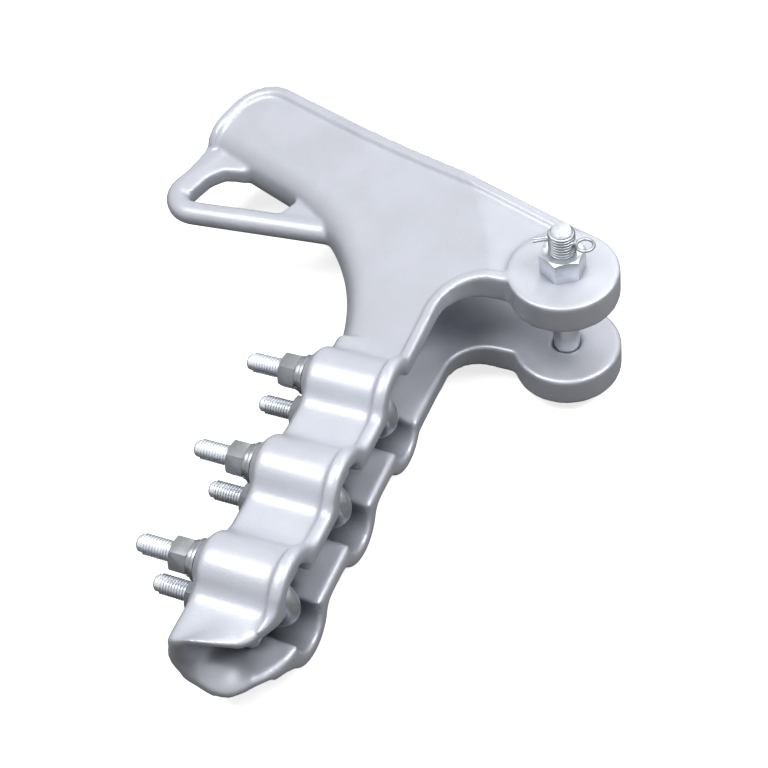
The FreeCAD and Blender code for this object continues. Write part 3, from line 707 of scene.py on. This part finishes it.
class CLAMP_OT_clevis(ClampOperator, bpy.types.Operator):
    """Thread the clevis bolt, and finish its nut and its split pin"""
    bl_idname = "clamp.clevis"
    bl_label = "Clevis bolt"

    def execute(self, context):
        steel = context.scene.clamp_steel
        radius, pitch, length = steel.clevis_radius, steel.clevis_pitch, steel.clevis_thread
        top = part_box("clevis_bolt")[1][2]
        for node in ("clevis_bolt", "clevis_nut"):
            piece = bevelled_copy(node, f"{node}_steel", steel.edge)
            if node == "clevis_bolt":
                slim_beyond(piece, (0.0, 0.0, top - length), Vector((0.0, 0.0, 1.0)), [Vector()],
                            root_share(radius, pitch))
            put_on(piece, [node], MATERIALS["clevis"])
        thread = thread_piece(
            "clevis_bolt_thread", BODY_OF["clevis_bolt"], "clevis_hardware", MATERIALS["clevis"],
            Crest=radius - CREST_INSET, Pitch=pitch, Turns=(length - CLEVIS_SHORTER) / pitch, Count=1,
            Start=(0.0, 0.0, top - length + CLEVIS_LEAD), Step=(0.0, 0.0, 0.0), Turn=(0.0, 0.0, 0.0))
        open_hole(thread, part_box("split_pin"))
        piece = bevelled_copy("split_pin", "split_pin_steel", PIN_EDGE)
        put_on(piece, ["split_pin"], MATERIALS["pin"])
        return {"FINISHED"}


# Studio

FLOOR_SIZE = 6.0
SENSOR_WIDTH = 36.0
CLIP_START = 0.01

# Each lamp's power setting, diameter and place
LAMPS = {
    "key_lamp": ("key_power", 0.8, (-0.45, -0.45, 1.35)),
    "back_lamp": ("back_power", 0.7, (0.0, 0.9, 1.1)),
    "side_lamp": ("side_power", 0.6, (0.6, 0.0, 0.95)),
}


def add_floor(settings):
    low, high = CAD_BOX
    middle = ((low[0] + high[0]) / 2, (low[1] + high[1]) / 2, low[2])
    bpy.ops.mesh.primitive_plane_add(size=FLOOR_SIZE, location=middle)
    floor = bpy.context.object
    floor.name = "floor"
    material, tree, shader = new_material("floor_paper")
    shader.inputs["Roughness"].default_value = 1.0
    shader.inputs["Specular IOR Level"].default_value = 0.0
    shader.inputs["Emission Color"].default_value = WHITE
    path = tree.nodes.new("ShaderNodeLightPath")
    bounce = shaded(settings.floor_colour, settings.floor_bounce)
    seen = mix_colour(tree, path.outputs["Is Camera Ray"], bounce, settings.floor_colour)
    tree.links.new(seen, shader.inputs["Base Color"])
    glow = math_node(tree, "MULTIPLY", path.outputs["Is Camera Ray"], settings.floor_glow)
    tree.links.new(glow, shader.inputs["Emission Strength"])
    floor.data.materials.append(material)


def white_background(settings):
    """Even light from the sky, seen as white by the camera and in reflections."""
    world = bpy.data.worlds.new("studio")
    bpy.context.scene.world = world
    world.use_nodes = True
    tree = world.node_tree
    tree.nodes.clear()
    path = tree.nodes.new("ShaderNodeLightPath")
    seen = math_node(tree, "MAXIMUM", path.outputs["Is Camera Ray"], path.outputs["Is Glossy Ray"])
    seen = math_node(tree, "MAXIMUM", seen, path.outputs["Is Transmission Ray"])
    light, white, mix, output = (tree.nodes.new(kind) for kind in (
        "ShaderNodeBackground", "ShaderNodeBackground", "ShaderNodeMixShader", "ShaderNodeOutputWorld"))
    light.inputs["Strength"].default_value = settings.sky
    white.inputs["Strength"].default_value = 1.0
    white.inputs["Color"].default_value = WHITE
    tree.links.new(seen, mix.inputs["Fac"])
    tree.links.new(light.outputs[0], mix.inputs[1])
    tree.links.new(white.outputs[0], mix.inputs[2])
    tree.links.new(mix.outputs[0], output.inputs["Surface"])


def add_lamp(name, power, size, place, target):
    lamp = bpy.data.lights.new(name, "AREA")
    lamp.energy = power
    lamp.shape = "DISK"
    lamp.size = size
    holder = new_object(name, lamp)
    holder.location = place
    holder.rotation_euler = (Vector(target) - Vector(place)).to_track_quat("-Z", "Y").to_euler()


def camera_turn(yaw, pitch, roll):
    """A camera's axes as a turn. Yaw is from +Y towards +X, pitch is downwards."""
    forward = Vector((math.sin(yaw) * math.cos(pitch), math.cos(yaw) * math.cos(pitch), -math.sin(pitch)))
    right = Vector((math.cos(yaw), -math.sin(yaw), 0.0))
    up = right.cross(forward)
    leaning = right * math.cos(roll) + up * math.sin(roll)
    upright = up * math.cos(roll) - right * math.sin(roll)
    return Matrix((leaning, upright, -forward)).transposed()


def add_camera(settings):
    camera = bpy.data.cameras.new("camera")
    camera.lens = settings.camera_lens
    camera.sensor_width = SENSOR_WIDTH
    camera.clip_start = CLIP_START
    holder = new_object("camera", camera)
    turn = camera_turn(settings.camera_yaw, settings.camera_pitch, settings.camera_roll)
    holder.matrix_world = Matrix.Translation(settings.camera_place) @ turn.to_4x4()
    return holder


class CLAMP_OT_studio(ClampOperator, bpy.types.Operator):
    """Set up the floor, the lamps and the camera"""
    bl_idname = "clamp.studio"
    bl_label = "Studio"

    def execute(self, context):
        settings = context.scene.clamp_studio
        add_floor(settings)
        white_background(settings)
        middle = [(low + high) / 2 for low, high in zip(*CAD_BOX)]
        for name, (power, size, place) in LAMPS.items():
            add_lamp(name, getattr(settings, power), size, place, middle)
        context.scene.camera = add_camera(settings)
        context.scene.view_settings.view_transform = "Standard"
        return {"FINISHED"}


PIECES = (CLAMP_OT_casting, CLAMP_OT_keepers, CLAMP_OT_u_bolts, CLAMP_OT_nuts, CLAMP_OT_clevis)
SETTINGS = {"clamp_casting": CastingSettings, "clamp_steel": SteelSettings, "clamp_studio": StudioSettings}


class CLAMP_PT_panel(bpy.types.Panel):
    """Lists the pieces of the clamp and their sizes"""
    bl_label = "Strain Clamp"
    bl_idname = "CLAMP_PT_panel"
    bl_space_type = "VIEW_3D"
    bl_region_type = "UI"
    bl_category = "Strain Clamp"

    def draw(self, context):
        for name, group in SETTINGS.items():
            box = self.layout.box()
            for prop in group.__annotations__:
                box.prop(getattr(context.scene, name), prop)
        for operator in (*PIECES, CLAMP_OT_studio):
            self.layout.operator(operator.bl_idname)


CLASSES = (*SETTINGS.values(), *PIECES, CLAMP_OT_studio, CLAMP_PT_panel)


def register():
    for cls in CLASSES:
        bpy.utils.register_class(cls)
    for name, group in SETTINGS.items():
        setattr(bpy.types.Scene, name, bpy.props.PointerProperty(type=group))


def unregister():
    for name in SETTINGS:
        delattr(bpy.types.Scene, name)
    for cls in reversed(CLASSES):
        bpy.utils.unregister_class(cls)


def main():
    register()
    make_materials()
    for operator in PIECES:
        getattr(bpy.ops.clamp, operator.bl_idname.split(".")[1])()
    bpy.ops.clamp.studio()


if __name__ == "__main__":
    main()
